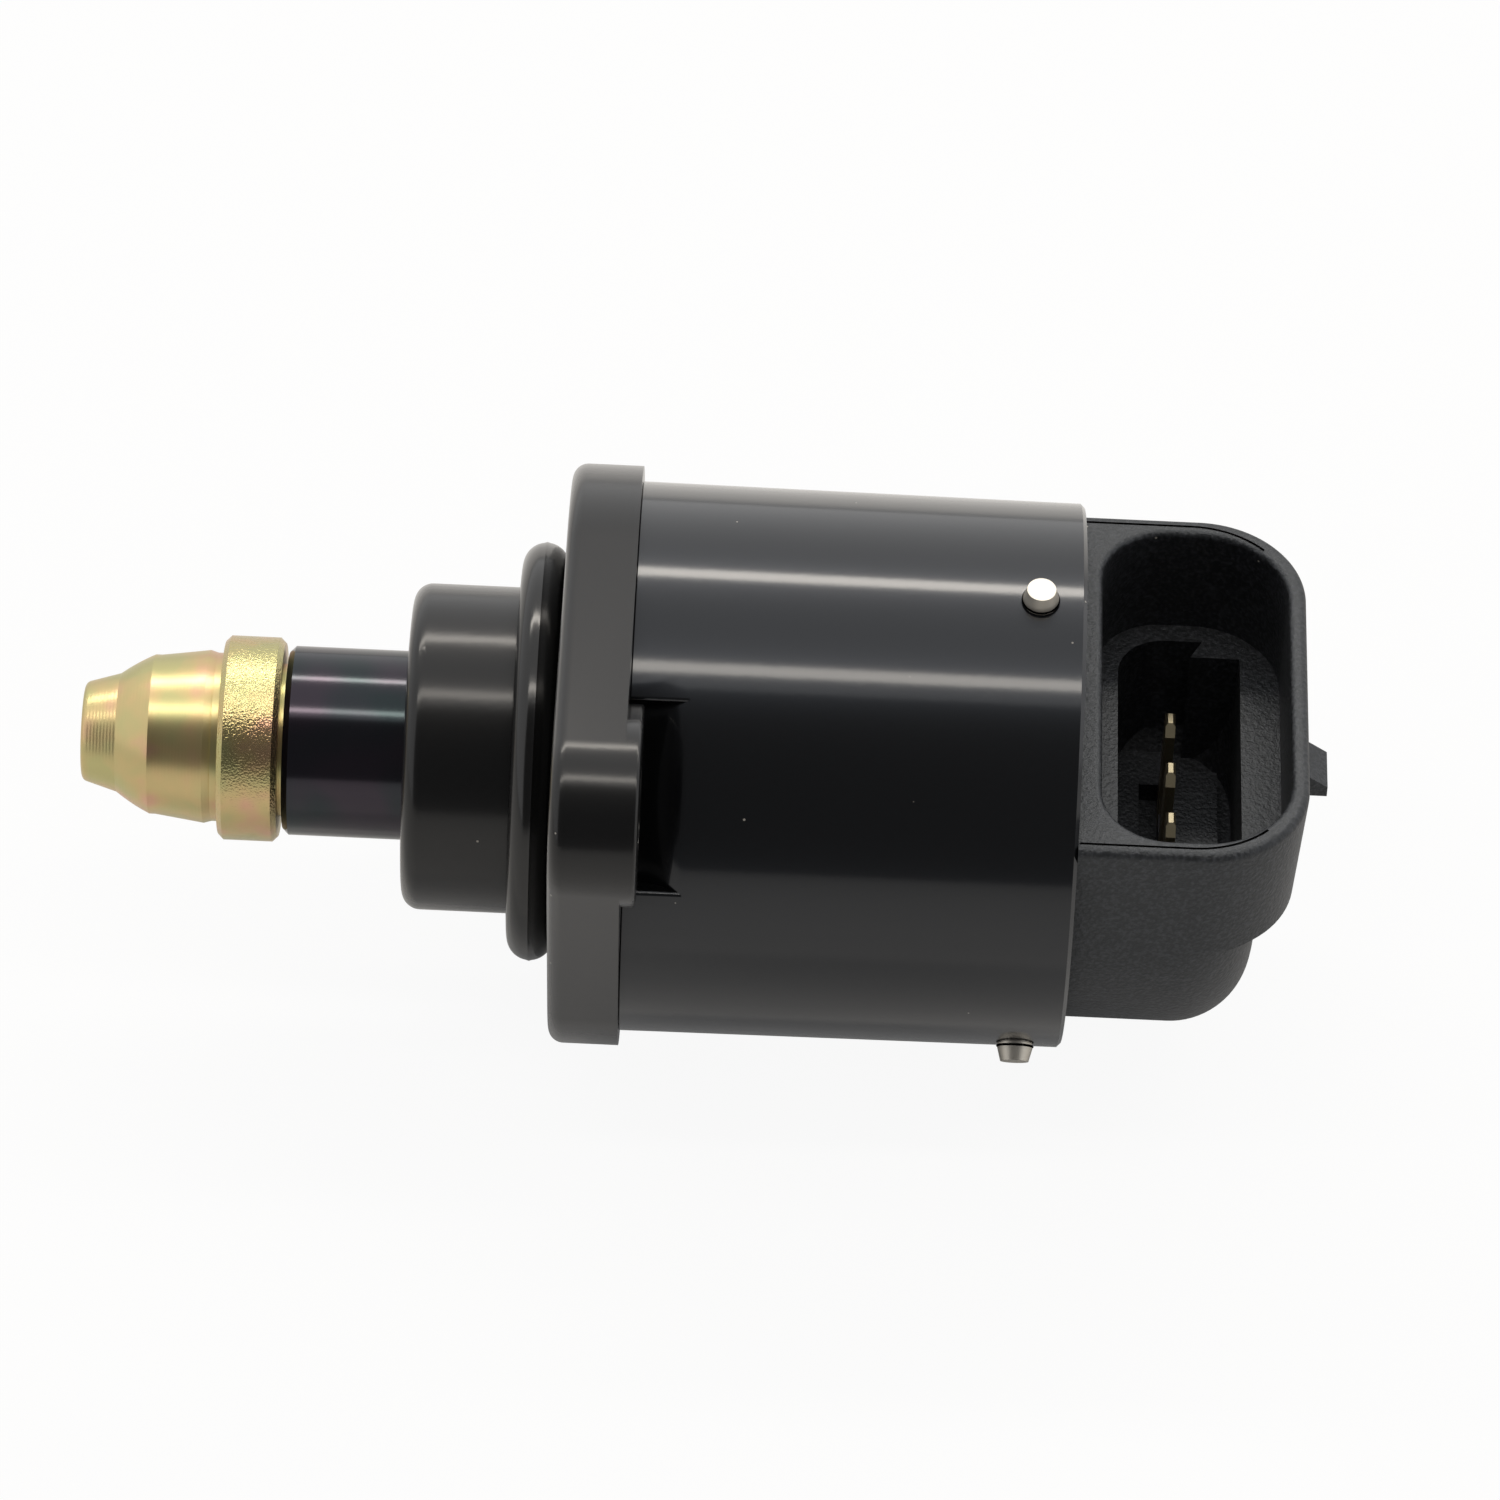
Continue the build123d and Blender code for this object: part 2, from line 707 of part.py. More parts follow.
def phase(front, facing, place):
    """One stator phase: a cup and a pole plate with interleaved claws, a bobbin and its winding.

    The cup's floor is at front, and facing is the direction along X in which the phase builds up.
    """
    back = front + facing * phase_length
    cup_floor = front + facing * sheet_thickness
    plate_face = back - facing * sheet_thickness
    wall_radius = stator_radius - sheet_thickness

    with BuildPart() as claw:
        with BuildSketch(Plane.XY.offset(claw_radius + claw_setback)):
            with BuildLine():
                Polyline(
                    (0, -claw_root / 2),
                    (claw_length, -claw_tip / 2),
                    (claw_length, claw_tip / 2),
                    (0, claw_root / 2),
                    close=True,
                )
            make_face()
        extrude(amount=sheet_thickness)

    with BuildPart() as cup:
        revolve(
            section(
                (front, claw_radius),
                (front, stator_radius),
                (back, stator_radius),
                (back, wall_radius),
                (cup_floor, wall_radius),
                (cup_floor, claw_radius),
            ),
            axis=Axis.X,
        )
        with Locations(claw_places(cup_floor, facing, 0)):
            add(claw.part)
    finish(cup, f"stator_cup_{place}")

    with BuildPart() as plate:
        revolve(ring(min(plate_face, back), max(plate_face, back), claw_radius, wall_radius), axis=Axis.X)
        with Locations(claw_places(plate_face, -facing, claw_turn / 2)):
            add(claw.part)
    finish(plate, f"pole_plate_{place}")

    low, high = sorted((cup_floor, plate_face))
    claw_outside = claw_radius + claw_setback + sheet_thickness
    core_radius = math.hypot(claw_outside, claw_root / 2) + bobbin_clearance
    rim_radius = wall_radius - bobbin_clearance
    with BuildPart() as bobbin:
        revolve(
            section(
                (low, core_radius),
                (low, rim_radius),
                (low + bobbin_wall, rim_radius),
                (low + bobbin_wall, core_radius + bobbin_wall),
                (high - bobbin_wall, core_radius + bobbin_wall),
                (high - bobbin_wall, rim_radius),
                (high, rim_radius),
                (high, core_radius),
            ),
            axis=Axis.X,
        )
    finish(bobbin, f"coil_bobbin_{place}")

    with BuildPart() as winding:
        inner = core_radius + bobbin_wall
        outer = rim_radius - winding_inset
        revolve(ring(low + bobbin_wall, high - bobbin_wall, inner, outer), axis=Axis.X)
    finish(winding, f"coil_winding_{place}")


phase(stator_front, 1, "front")
phase(stator_rear, -1, "rear")
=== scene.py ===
import json
import math

import bmesh
import bpy
from mathutils import Matrix, Vector

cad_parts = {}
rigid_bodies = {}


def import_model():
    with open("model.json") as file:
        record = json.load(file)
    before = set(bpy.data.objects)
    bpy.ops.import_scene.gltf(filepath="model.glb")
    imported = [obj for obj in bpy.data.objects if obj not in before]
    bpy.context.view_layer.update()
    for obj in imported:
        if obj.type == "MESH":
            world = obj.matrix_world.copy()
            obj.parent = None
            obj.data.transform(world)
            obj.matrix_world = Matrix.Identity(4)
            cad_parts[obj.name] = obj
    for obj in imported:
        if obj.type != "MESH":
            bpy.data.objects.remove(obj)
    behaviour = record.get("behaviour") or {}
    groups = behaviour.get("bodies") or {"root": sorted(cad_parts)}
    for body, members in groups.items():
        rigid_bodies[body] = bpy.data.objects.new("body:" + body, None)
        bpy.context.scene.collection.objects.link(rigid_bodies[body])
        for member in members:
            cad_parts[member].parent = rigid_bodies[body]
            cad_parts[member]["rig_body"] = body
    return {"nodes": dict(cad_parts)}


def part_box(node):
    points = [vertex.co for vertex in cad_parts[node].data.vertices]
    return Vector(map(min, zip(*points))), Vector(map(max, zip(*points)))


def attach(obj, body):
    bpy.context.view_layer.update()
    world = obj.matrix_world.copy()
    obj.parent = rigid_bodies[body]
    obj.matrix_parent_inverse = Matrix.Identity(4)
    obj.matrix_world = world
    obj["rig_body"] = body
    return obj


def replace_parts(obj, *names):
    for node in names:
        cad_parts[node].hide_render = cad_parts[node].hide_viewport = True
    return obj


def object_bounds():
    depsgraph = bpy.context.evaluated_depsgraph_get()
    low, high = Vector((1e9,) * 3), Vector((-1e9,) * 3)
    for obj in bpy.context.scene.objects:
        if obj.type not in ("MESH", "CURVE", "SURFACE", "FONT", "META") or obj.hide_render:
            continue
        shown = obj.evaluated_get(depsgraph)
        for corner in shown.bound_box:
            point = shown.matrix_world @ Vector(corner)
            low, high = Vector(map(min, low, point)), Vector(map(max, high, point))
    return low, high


bl_info = {
    "name": "Idle air control valve",
    "version": (1, 0, 0),
    "blender": (4, 5, 0),
    "location": "3D View > Sidebar > Valve",
    "description": "Dresses the packed valve with its finishes, fine details and a studio",
    "category": "Object",
}

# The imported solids, in metres: X is the valve axis, and the plug goes in from +Z.
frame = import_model()
NODES = frame["nodes"]
CAD_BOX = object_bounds()
MM = 0.001
AXIS = Vector((1, 0, 0))
# Corners that lie nearer than this are one corner.
MERGE = 0.0005 * MM
# Edges that turn by more degrees than this are sharp.
CREASE = 32
FINE_CREASE = 9
PIN_COUNT = 3


def linear(code):
    """A linear colour from an sRGB hex value."""
    channels = [int(code[i:i + 2], 16) / 255 for i in (1, 3, 5)]
    return [c / 12.92 if c <= 0.04045 else ((c + 0.055) / 1.055) ** 2.4 for c in channels]


def colour(name, description, code):
    """A colour that a user may change."""
    return bpy.props.FloatVectorProperty(
        name=name, description=description, subtype="COLOR", size=3, min=0, max=1, default=linear(code)
    )


def length(name, description, millimetres):
    """A length that a user may change."""
    return bpy.props.FloatProperty(
        name=name,
        description=description,
        subtype="DISTANCE",
        unit="LENGTH",
        min=0,
        default=millimetres * MM,
    )


def angle(name, description, degrees):
    """An angle that a user may change."""
    return bpy.props.FloatProperty(
        name=name, description=description, subtype="ANGLE", default=math.radians(degrees)
    )


def share(name, description, value):
    """A share, from none to all, that a user may change."""
    return bpy.props.FloatProperty(
        name=name, description=description, subtype="FACTOR", min=0, max=1, default=value
    )


def power(name, description, watts):
    """The power of a lamp, that a user may change."""
    return bpy.props.FloatProperty(
        name=name, description=description, subtype="POWER", unit="POWER", min=0, default=watts
    )


def optics(name, description, millimetres):
    """A size of the camera's lens or sensor, in Blender's own millimetres, that a user may change."""
    return bpy.props.FloatProperty(
        name=name, description=description, subtype="DISTANCE_CAMERA", min=1, default=millimetres
    )


class ValveColours(bpy.types.PropertyGroup):
    """The colours of the valve's finishes, and of the shade painted into its narrow gaps."""

    case_paint: colour("Case paint", "Gloss black paint on the motor case", "#0b0b0c")
    casting_coat: colour("Casting coat", "Black coat on the front housing", "#0d0d0e")
    rubber: colour("Rubber", "Nitrile rubber of the rings", "#0d0d0d")
    cap_plastic: colour("Cap plastic", "Glass-filled nylon of the connector cap", "#0b0c0e")
    cap_fibre: colour("Cap fibre", "Glass fibres that show pale in the cap's skin", "#2c2d31")
    # Painted shade: the dark that shade gives the gaps round the pins and the parting line on the cap's
    # rim.
    gap: colour("Gap", "Dark of the gaps round the pins and of the parting line on the rim", "#050505")
    dust: colour("Dust", "Pale dust that lies on the black parts", "#96928b")
    zinc_gold: colour("Zinc gold", "Main colour of the yellow passivated zinc", "#cdb684")
    zinc_olive: colour("Zinc olive", "Greenish patches of the passivation", "#beb782")
    zinc_rose: colour("Zinc rose", "Pink patches of the passivation", "#d6ac8c")
    sleeve: colour("Sleeve", "Black moulding of the pintle sleeve", "#0d0b10")
    sheen_violet: colour("Violet sheen", "Violet tint in the sleeve's gloss", "#f4e4fa")
    sheen_teal: colour("Teal sheen", "Teal tint in the sleeve's gloss", "#c8e2e6")
    steel: colour("Bright steel", "Ground steel of the pins, the screw and the bearing", "#c9c4ba")
    blade: colour("Blade", "Tinned brass of the terminals", "#9d947c")
    natural_nylon: colour("Natural nylon", "Undyed plastic of the bobbins, guide and hub", "#cfc8b4")
    bronze: colour("Bronze", "Sintered bronze of the rear bush", "#a9814f")
    ferrite: colour("Ferrite", "Bonded ferrite of the rotor's magnet", "#3a3a3d")
    sheet_steel: colour("Sheet steel", "Zinc plated sheet of the stator", "#b4b6b8")
    enamelled_wire: colour("Enamelled wire", "Copper wire under clear enamel", "#b3622f")
    floor: colour("Floor", "Pale floor of the studio", "#f2f2f2")


class ValveSizes(bpy.types.PropertyGroup):
    """The sizes of details that the solids leave to the scene."""

    flash_height: length("Flash height", "How far the ring's mould flash stands proud", 0.05)
    # Width of the dark ring of painted shade in the gap round a pin.
    pin_gap: length("Pin gap", "Width of the dark, broken edge of the paint round a pin", 0.16)
    # The parting line's dark strip is painted shade of the line's crevice.
    line_width: length("Parting line width", "Width of the dark line on the cap's rim", 0.16)
    line_inset: length("Parting line inset", "Distance of that line from the edge of the rim's flat", 0.2)
    line_height: length("Parting line height", "How far that line stands proud of the rim", 0.015)
    corner_radius: length("Cap corner", "Radius of the cap's rear corners", 7)
    scoop_slope: angle("Scoop slope", "Steepest slope that the shading shows in a scoop of the case", 26)
    orange_peel: length("Orange peel", "Spacing of the waves in the enamel and the sleeve", 0.6)
    peel_depth: length("Orange peel depth", "Height of the waves in the enamel", 0.0015)
    polish_depth: length("Polish depth", "Height of the waves in the sleeve", 0.0012)
    casting_grain: length("Casting grain", "Spacing of the waves in the housing's coat", 0.9)
    coat_depth: length("Coat depth", "Height of the waves in a coated or plated face", 0.004)
    fine_depth: length("Fine depth", "Height of the grain on rubber, ground steel and nylon", 0.003)
    cap_grain: length("Cap grain", "Spacing of the grain on the cap", 0.28)
    cap_depth: length("Cap grain depth", "Height of the grain on the cap", 0.07)
    zinc_grain: length("Zinc grain", "Spacing of the crystals in the zinc", 0.14)
    blast_depth: length("Blast depth", "Height of the grain on the collar's blasted face", 0.048)
    zinc_patch: length("Zinc patch", "Spacing of the patches of colour in the zinc", 3.5)
    collar_face: length("Collar face", "Depth under the collar's radius that has the blasted finish", 0.3)
    turning_pitch: length("Turning pitch", "Spacing of the lathe's feed marks", 0.22)
    turning_depth: length("Turning depth", "Height of the lathe's feed marks", 0.003)
    sinter_depth: length("Sinter depth", "Height of the pores in the sintered bronze", 0.01)
    ferrite_depth: length("Ferrite depth", "Height of the grain on the ferrite", 0.008)
    case_dust: length("Case dust", "Spacing of the specks of dust on the case and the housing", 3)
    cap_dust: length("Cap dust", "Spacing of the specks of dust on the cap", 3)
    dust_speck: length("Dust speck", "Largest radius of a speck of dust", 0.08)
    sheen_spacing: length("Sheen spacing", "Spacing of the tints in the sleeve's gloss", 5)
    wire_pitch: length("Wire pitch", "Spacing of the turns in a winding", 0.3)


class ValveStage(bpy.types.PropertyGroup):
    """The studio: camera, lights and floor."""

    elevation: angle("Camera elevation", "How far the camera looks down on the valve", 44.6)
    roll: angle("Camera roll", "How far the valve's axis falls to the right in the picture", 2.6)
    distance: length("Camera distance", "From the camera to the valve's axis", 560)
    aim_along: length("Aim along the axis", "Where the middle of the picture meets the axis", 12.36)
    aim_up: length("Aim above the axis", "How far the middle of the picture lies above the axis", 0.72)
    focal_length: optics("Focal length", "Focal length of the lens", 205)
    sensor_width: optics("Sensor width", "Width of the camera's sensor", 36)
    strip_distance: length("Strip distance", "From a strip light to the valve's axis", 600)
    strip_length: length("Strip length", "Length of a strip light along the valve", 900)
    strip_width: length("Strip width", "Width of a strip light", 50)
    overhead_angle: angle("Overhead strip", "Angle of this strip from the near side, over the top", 82)
    rear_angle: angle("Rear strip", "Angle of this strip from the near side, over the top", 127)
    overhead_power: power("Overhead power", "Power of the overhead strip", 1.3)
    rear_power: power("Rear power", "Power of the rear strip", 1.9)
    card_angle: angle("Black card", "Angle of the black card from the near side, over the top", 35.5)
    card_distance: length("Card distance", "From the black card to the axis", 400)
    card_width: length("Card width", "Width of the black card across the valve", 614)
    card_length: length("Card length", "Length of the black card along the valve", 780)
    card_along: length("Card along", "Where the middle of the black card lies along the axis", 25)
    card_level: share("Card level", "Faint light that the black card still throws back", 0.12)
    strip_tint: colour("Strip tint", "Warm white of the strip lights", "#fff8ee")
    fill: share("Fill", "Level of the white room's own light", 0.35)
    floor_size: length("Floor size", "Length and width of the floor", 6000)
    floor_glow: share("Floor glow", "Plain white in the floor as it is seen, with a faint shadow", 0.93)
    floor_mirror: share("Floor mirror", "Plain white in the floor as the valve's gloss shows it", 0.1)


def add_node(tree, kind, sockets=None, **settings):
    """Add a node. A plain value is set on its socket, and another node's output is linked to it."""
    node = tree.nodes.new(kind)
    for name, value in settings.items():
        setattr(node, name, value)
    for name, value in (sockets or {}).items():
        if isinstance(value, bpy.types.NodeSocket):
            tree.links.new(value, node.inputs[name])
        else:
            node.inputs[name].default_value = value
    return node


def start_material(name):
    """An empty material, its node tree and its Object coordinates."""
    material = bpy.data.materials.new(name)
    material.use_nodes = True
    material.node_tree.nodes.clear()
    place = add_node(material.node_tree, "ShaderNodeTexCoord").outputs["Object"]
    return material, material.node_tree, place


def close_material(material, sockets):
    """Finish a material with its surface shader."""
    tree = material.node_tree
    shader = add_node(tree, "ShaderNodeBsdfPrincipled", sockets)
    add_node(tree, "ShaderNodeOutputMaterial", {"Surface": shader.outputs["BSDF"]})
    return material


def grain(tree, place, spacing, depth):
    """The normal of a surface with an even, random grain."""
    height = add_node(tree, "ShaderNodeTexNoise", {"Vector": place, "Scale": 1 / spacing, "Detail": 2})
    bump = add_node(
        tree, "ShaderNodeBump", {"Height": height.outputs["Fac"], "Strength": 1, "Distance": depth}
    )
    return bump.outputs["Normal"]


def ridges(tree, place, pitch, depth, distortion=0):
    """The normal of a surface with even ridges round the valve axis."""
    # A wave's scale counts 20 radians in a unit of length.
    scale = math.tau / (20 * pitch)
    wave = add_node(
        tree,
        "ShaderNodeTexWave",
        {"Vector": place, "Scale": scale, "Distortion": distortion},
        bands_direction="X",
    )
    bump = add_node(
        tree, "ShaderNodeBump", {"Height": wave.outputs["Fac"], "Strength": 1, "Distance": depth}
    )
    return bump.outputs["Normal"]


def patches(tree, place, spacing, detail, stops):
    """Colours that run into each other in soft, random patches, each from its own level of the noise."""
    noise = add_node(tree, "ShaderNodeTexNoise", {"Vector": place, "Scale": 1 / spacing, "Detail": detail})
    ramp = add_node(tree, "ShaderNodeValToRGB", {"Fac": noise.outputs["Fac"]})
    elements = ramp.color_ramp.elements
    elements.remove(elements[1])
    for number, (level, tint) in enumerate(stops):
        stop = elements.new(level) if number else elements[0]
        stop.position = level
        stop.color = (*tint, 1)
    return ramp.outputs["Color"]


def dusty(tree, place, base, dust, spacing, speck):
    """A colour with scattered specks of dust."""
    cells = add_node(tree, "ShaderNodeTexVoronoi", {"Vector": place, "Scale": 1 / spacing})
    near = add_node(
        tree, "ShaderNodeMath", {0: cells.outputs["Distance"], 1: speck / spacing}, operation="LESS_THAN"
    )
    mix = add_node(
        tree, "ShaderNodeMix", {"Factor": near.outputs[0], 6: base, 7: (*dust, 1)}, data_type="RGBA"
    )
    return mix.outputs[2]


def gloss_black_enamel(colours, sizes):
    """Stoved gloss enamel on drawn steel: sharp reflections in a soft blue glow, and a little dust."""
    material, tree, place = start_material("gloss_black_enamel")
    paint_colour = (*colours.case_paint, 1)
    peel = grain(tree, place, sizes.orange_peel, sizes.peel_depth)
    return close_material(material, {
        "Base Color": dusty(tree, place, paint_colour, colours.dust, sizes.case_dust, sizes.dust_speck),
        "Roughness": 0.3,
        "Specular IOR Level": 0.2,
        "Specular Tint": (0.72, 0.82, 1, 1),
        "Normal": peel,
        "Coat Weight": 1,
        "Coat Roughness": 0.11,
        "Coat IOR": 1.42,
        "Coat Normal": peel,
    })


def black_coated_casting(colours, sizes):
    """Black electrocoat on a zinc die casting: a wavy gloss over smooth rounded edges."""
    material, tree, place = start_material("black_coated_casting")
    coat_colour = (*colours.casting_coat, 1)
    waves = grain(tree, place, sizes.casting_grain, sizes.coat_depth)
    return close_material(material, {
        "Base Color": dusty(tree, place, coat_colour, colours.dust, sizes.case_dust, sizes.dust_speck),
        "Roughness": 0.4,
        "Specular IOR Level": 0.1,
        "Normal": waves,
        "Coat Weight": 1,
        "Coat Roughness": 0.19,
        "Coat IOR": 1.4,
        "Coat Normal": waves,
    })


def moulded_nitrile(colours, sizes):
    """Moulded nitrile rubber: dark, with a dull sheen."""
    material, tree, place = start_material("moulded_nitrile")
    return close_material(material, {
        "Base Color": (*colours.rubber, 1),
        "Roughness": 0.16,
        "IOR": 1.52,
        "Normal": grain(tree, place, sizes.casting_grain, sizes.fine_depth),
    })


def glass_filled_nylon(colours, sizes):
    """Black glass-filled nylon, moulded: a coarse spark-eroded grain, with pale fibres and dust in it."""
    material, tree, place = start_material("glass_filled_nylon")
    skin = patches(tree, place, sizes.cap_grain, 3, [(0.45, colours.cap_plastic), (0.7, colours.cap_fibre)])
    return close_material(material, {
        "Base Color": dusty(tree, place, skin, colours.dust, sizes.cap_dust, sizes.dust_speck),
        "Roughness": 0.5,
        "Specular IOR Level": 0.62,
        "Specular Tint": (0.9, 0.95, 1, 1),
        "Normal": grain(tree, place, sizes.cap_grain, sizes.cap_depth),
    })


def painted_gap_shade(colours, sizes):
    """Painted shade: the dark of a narrow gap or line, drawn as a colour that throws back no gloss."""
    material = start_material("painted_gap_shade")[0]
    return close_material(
        material, {"Base Color": (*colours.gap, 1), "Roughness": 0.8, "Specular IOR Level": 0}
    )


def zinc_patches(tree, place, colours, sizes):
    """The colours of a yellow passivation: gold that turns to rose and to olive."""
    stops = [(0.34, colours.zinc_rose), (0.46, colours.zinc_gold), (0.62, colours.zinc_olive)]
    return patches(tree, place, sizes.zinc_patch, 2, stops)


def turned_yellow_zinc(colours, sizes):
    """Yellow passivated zinc plate over the lathe's feed marks: a satin shine."""
    material, tree, place = start_material("turned_yellow_zinc")
    # Real feed marks lie about 0.1 mm apart. They are drawn coarser, so that they show.
    return close_material(material, {
        "Base Color": zinc_patches(tree, place, colours, sizes),
        "Metallic": 1,
        "Roughness": 0.31,
        "Normal": ridges(tree, place, sizes.turning_pitch, sizes.turning_depth, 0.6),
    })


def blasted_yellow_zinc(colours, sizes):
    """Yellow passivated zinc plate on a shot-blasted face: a sparkling grain."""
    material, tree, place = start_material("blasted_yellow_zinc")
    return close_material(material, {
        "Base Color": zinc_patches(tree, place, colours, sizes),
        "Metallic": 1,
        "Roughness": 0.22,
        "Normal": grain(tree, place, sizes.zinc_grain, sizes.blast_depth),
    })


def gloss_black_moulding(colours, sizes):
    """Polished black sleeve: a mirror-like gloss that turns violet in places and teal in others."""
    material, tree, place = start_material("gloss_black_moulding")
    stops = [(0.4, colours.sheen_violet), (0.62, colours.sheen_teal)]
    return close_material(material, {
        "Base Color": (*colours.sleeve, 1),
        "Roughness": 0.15,
        "IOR": 1.58,
        "Specular Tint": patches(tree, place, sizes.sheen_spacing, 1, stops),
        "Normal": grain(tree, place, sizes.orange_peel, sizes.polish_depth),
    })


def bright_ground_steel(colours, sizes):
    """Ground and polished steel with a warm grey shine."""
    material, tree, place = start_material("bright_ground_steel")
    return close_material(material, {
        "Base Color": (*colours.steel, 1),
        "Metallic": 1,
        "Roughness": 0.45,
        "Normal": grain(tree, place, sizes.zinc_grain, sizes.fine_depth),
    })


def tinned_brass(colours, sizes):
    """Brass strip under a thin coat of tin: pale gold, with a soft shine."""
    material, tree, place = start_material("tinned_brass")
    return close_material(material, {
        "Base Color": (*colours.blade, 1),
        "Metallic": 1,
        "Roughness": 0.4,
        "Normal": grain(tree, place, sizes.zinc_grain, sizes.coat_depth),
    })


def natural_nylon(colours, sizes):
    """Undyed nylon, moulded: ivory and dull."""
    material, tree, place = start_material("natural_nylon")
    return close_material(material, {
        "Base Color": (*colours.natural_nylon, 1),
        "Roughness": 0.45,
        "IOR": 1.53,
        "Normal": grain(tree, place, sizes.cap_grain, sizes.fine_depth),
    })


def sintered_bronze(colours, sizes):
    """Sintered bronze: brown metal with a dull, porous face."""
    material, tree, place = start_material("sintered_bronze")
    return close_material(material, {
        "Base Color": (*colours.bronze, 1),
        "Metallic": 1,
        "Roughness": 0.5,
        "Normal": grain(tree, place, sizes.cap_grain, sizes.sinter_depth),
    })


def bonded_ferrite(colours, sizes):
    """Pressed ferrite: a dark grey ceramic with a fine grain."""
    material, tree, place = start_material("bonded_ferrite")
    return close_material(material, {
        "Base Color": (*colours.ferrite, 1),
        "Roughness": 0.55,
        "IOR": 1.6,
        "Normal": grain(tree, place, sizes.cap_grain, sizes.ferrite_depth),
    })


def zinc_plated_sheet(colours, sizes):
    """Pressed sheet steel under bright zinc."""
    material, tree, place = start_material("zinc_plated_sheet")
    return close_material(material, {
        "Base Color": (*colours.sheet_steel, 1),
        "Metallic": 1,
        "Roughness": 0.34,
        "Normal": grain(tree, place, sizes.casting_grain, sizes.coat_depth),
    })


def enamelled_copper_wire(colours, sizes):
    """Copper wire under clear enamel, wound in close turns."""
    material, tree, place = start_material("enamelled_copper_wire")
    return close_material(material, {
        "Base Color": (*colours.enamelled_wire, 1),
        "Metallic": 1,
        "Roughness": 0.3,
        "Coat Weight": 0.5,
        "Normal": ridges(tree, place, sizes.wire_pitch, sizes.wire_pitch / 2),
    })


def finish_of(context, recipe):
    """The material that a recipe makes, made once."""
    made = bpy.data.materials.get(recipe.__name__)
    return made or recipe(context.scene.valve_colours, context.scene.valve_sizes)


def paint(piece, material):
    """Give a piece one material."""
    piece.data.materials.clear()
    piece.data.materials.append(material)


def mesh_piece(name, shape, body, material, crease=CREASE):
    """A piece of the valve from a bmesh, on its body, sharp past the crease angle."""
    mesh = bpy.data.meshes.new(name)
    shape.to_mesh(mesh)
    shape.free()
    # A merged copy still holds the shading of its loose triangles, which no longer fits it.
    if mesh.has_custom_normals:
        mesh.attributes.remove(mesh.attributes["custom_normal"])
    piece = bpy.data.objects.new(name, mesh)
    bpy.context.scene.collection.objects.link(piece)
    mesh.shade_smooth()
    mesh.set_sharp_from_angle(angle=math.radians(crease))
    paint(piece, material)
    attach(piece, body)
    return piece


def true_up_turned_faces(mesh, bands):
    """Square the shading to the valve axis on turned faces, so that gloss shows no facets.

    A corner counts when its distance from the axis lies in one of the bands.
    """
    most_slip = math.sin(math.radians(4))
    normals = [Vector(corner.vector) for corner in mesh.corner_normals]
    for loop in mesh.loops:
        spot = mesh.vertices[loop.vertex_index].co
        radial = Vector((0, spot.y, spot.z))
        if not any(low <= radial.length <= high for low, high in bands):
            continue
        around = AXIS.cross(radial.normalized())
        normal = normals[loop.index]
        slip = normal.dot(around)
        if abs(slip) < most_slip:
            normals[loop.index] = (normal - slip * around).normalized()
    mesh.normals_split_custom_set(normals)


def soften_run_out(mesh, outside, steepest):
    """Shade the floor of each scoop as if it ran out tangent to the case, with no hard line there."""
    low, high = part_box("motor_case")
    front = low.x + 0.1 * MM
    middle = (low.x + high.x) / 2
    deepest = outside - 2 * MM
    least_lean = 0.05
    most_slip = 0.1
    spots = [mesh.vertices[loop.vertex_index].co for loop in mesh.loops]
    normals = [Vector(corner.vector) for corner in mesh.corner_normals]
    floor = {}
    for number, spot in enumerate(spots):
        radial = Vector((0, spot.y, spot.z))
        in_scoop = front < spot.x < middle and radial.length > deepest
        if in_scoop and normals[number].x < -least_lean:
            radial.normalize()
            if abs(normals[number].dot(AXIS.cross(radial))) < most_slip:
                floor[number] = radial
    end = max(spots[number].x for number in floor)
    for number, radial in floor.items():
        tilt = steepest * math.sin(math.pi * (end - spots[number].x) / (end - low.x))
        normals[number] = math.cos(tilt) * radial - math.sin(tilt) * AXIS
    mesh.normals_split_custom_set(normals)


def smooth_copy(node, material, bands=(), crease=CREASE):
    """A merged copy of a CAD node, shaded smooth, that stands for the node."""
    shape = bmesh.new()
    shape.from_mesh(NODES[node].data)
    bmesh.ops.remove_doubles(shape, verts=shape.verts, dist=MERGE)
    piece = mesh_piece(f"{node}_finish", shape, NODES[node]["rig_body"], material, crease)
    if bands:
        true_up_turned_faces(piece.data, bands)
    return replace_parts(piece, node)


def radius_of(node):
    """The largest radius of a turned node about the valve axis."""
    return max(math.hypot(vertex.co.y, vertex.co.z) for vertex in NODES[node].data.vertices)


def pin_directions():
    """The directions from the valve axis to the locking pins."""
    reach = radius_of("locking_pins") - 0.1 * MM
    spots = [vertex.co.yz for vertex in NODES["locking_pins"].data.vertices]
    tops = [spot for spot in spots if spot.length > reach]
    directions = []
    for number in range(PIN_COUNT):
        towards = Matrix.Rotation(number * math.tau / PIN_COUNT, 2) @ tops[0]
        near = [top for top in tops if top.angle(towards) < math.pi / PIN_COUNT]
        middle = sum(near, Vector((0, 0))).normalized()
        directions.append(Vector((0, *middle)))
    return directions


def spin_round(shape, section, centre, axis, steps):
    """Turn a section once round an axis."""
    edges = dict.fromkeys(edge for vertex in section for edge in vertex.link_edges)
    bmesh.ops.spin(
        shape,
        geom=section + list(edges),
        cent=centre,
        axis=axis,
        angle=math.tau,
        steps=steps,
        use_merge=True,
    )


def close_shape(shape):
    """Merge doubled corners, and turn every face outwards."""
    bmesh.ops.remove_doubles(shape, verts=shape.verts, dist=MERGE)
    bmesh.ops.recalc_face_normals(shape, faces=shape.faces)


